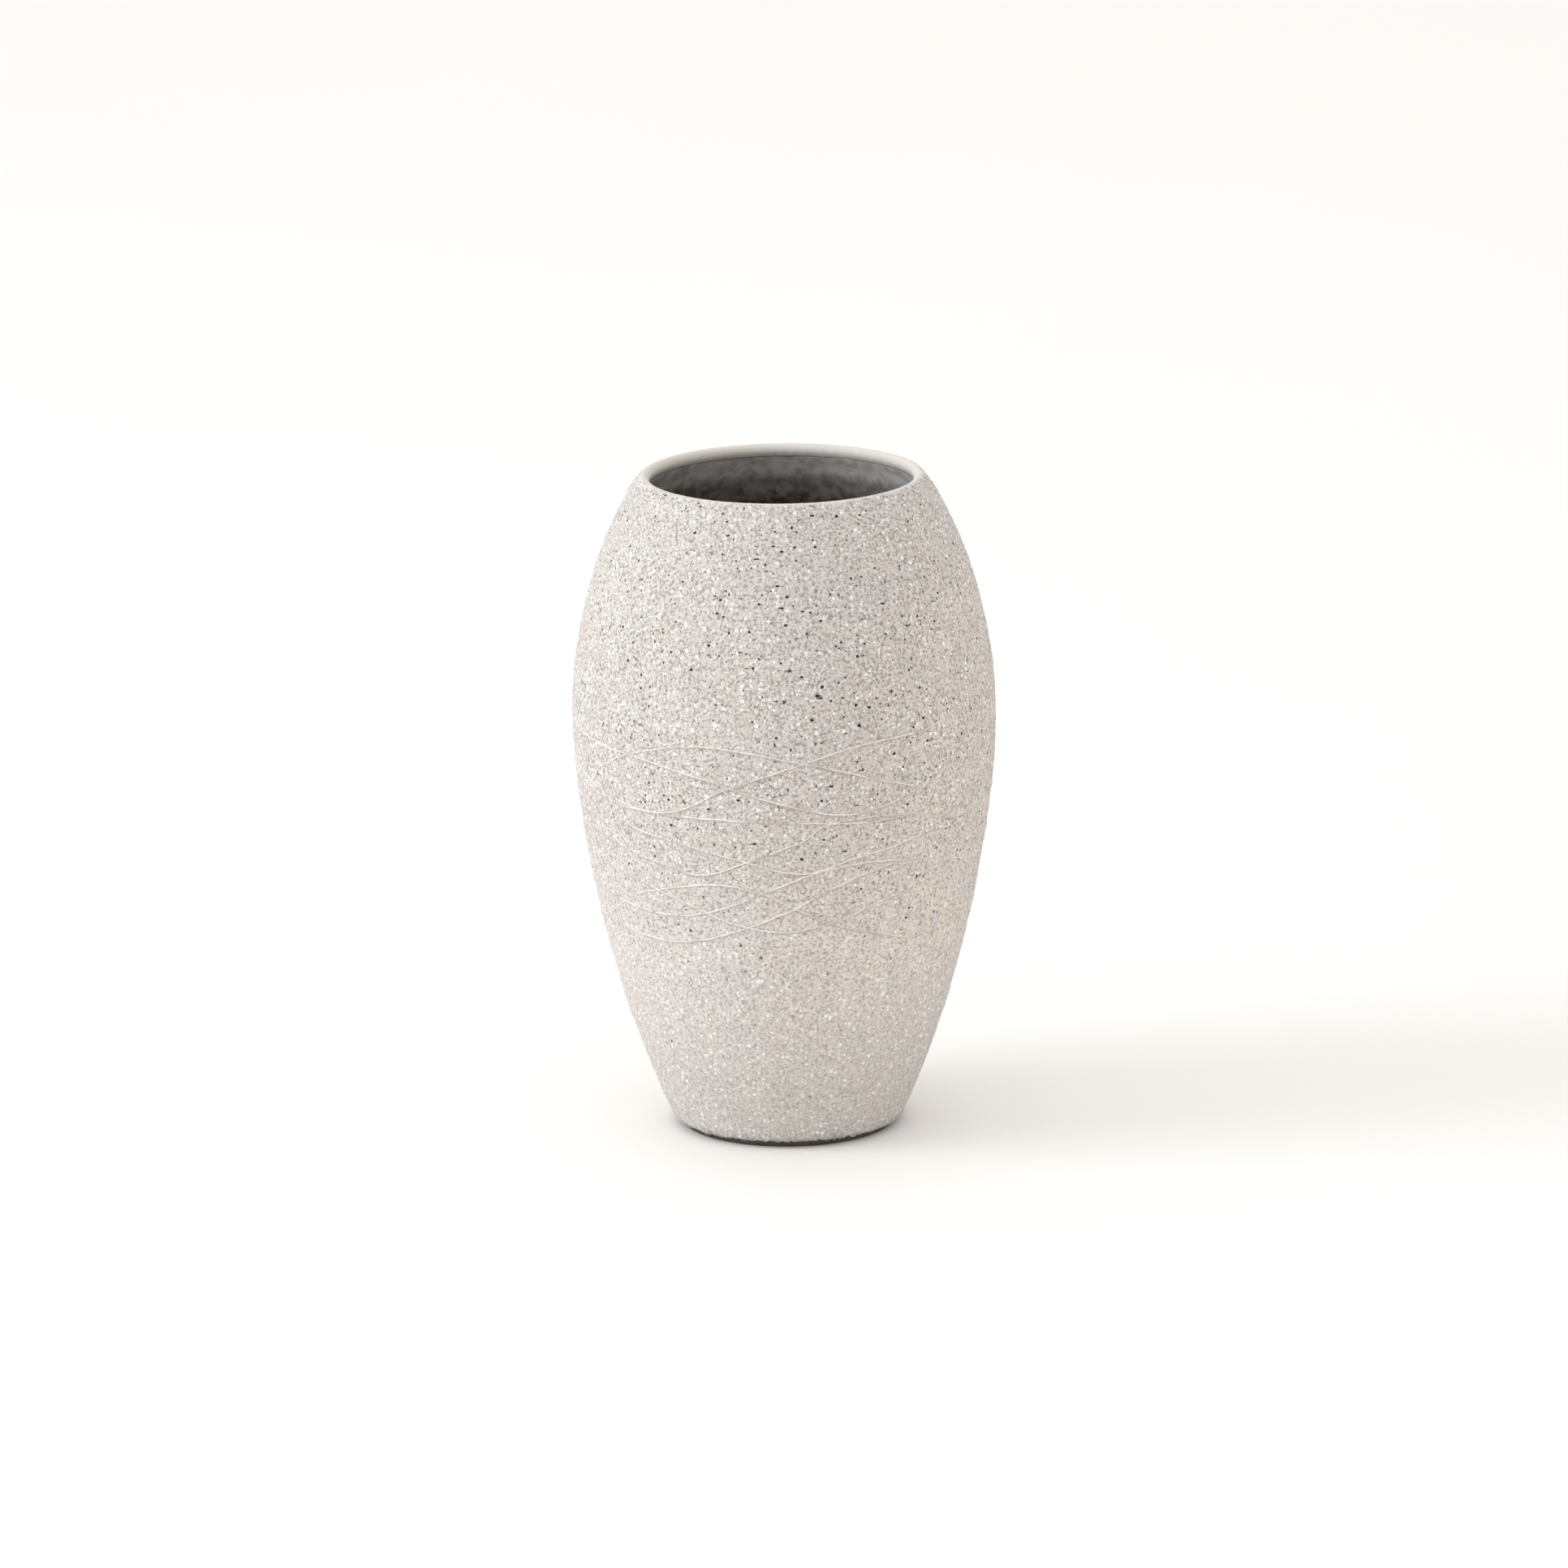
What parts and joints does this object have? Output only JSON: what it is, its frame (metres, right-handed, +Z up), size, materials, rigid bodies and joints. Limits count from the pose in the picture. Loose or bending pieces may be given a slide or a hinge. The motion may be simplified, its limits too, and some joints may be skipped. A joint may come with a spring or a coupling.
{
  "type": "bud vase",
  "caption": "Egg-shaped stoneware bud vase with an open mouth, a gritty pale coat outside, raised wavy slip lines round the belly and a dark glazed inside.",
  "frame": {"origin": "centre of the foot, on the surface the vase stands on", "axes": "+Z up along the turning axis, through the centre of the mouth; -Y is the front"},
  "size_m": [0.0897, 0.0899, 0.1401],
  "materials": {
    "dark_clay": "bare fired clay, matte",
    "gritty_coat": "gritty pale coat with dark specks, matte",
    "liner_glaze": "mottled dark satin glaze",
    "trailed_slip": "pale fired slip, matte"
  },
  "bodies": {
    "root": {"clay_body": "dark_clay", "outer_coat": "gritty_coat", "inner_glaze": "liner_glaze", "trailed_lines": "trailed_slip"}
  },
  "joints": []
}
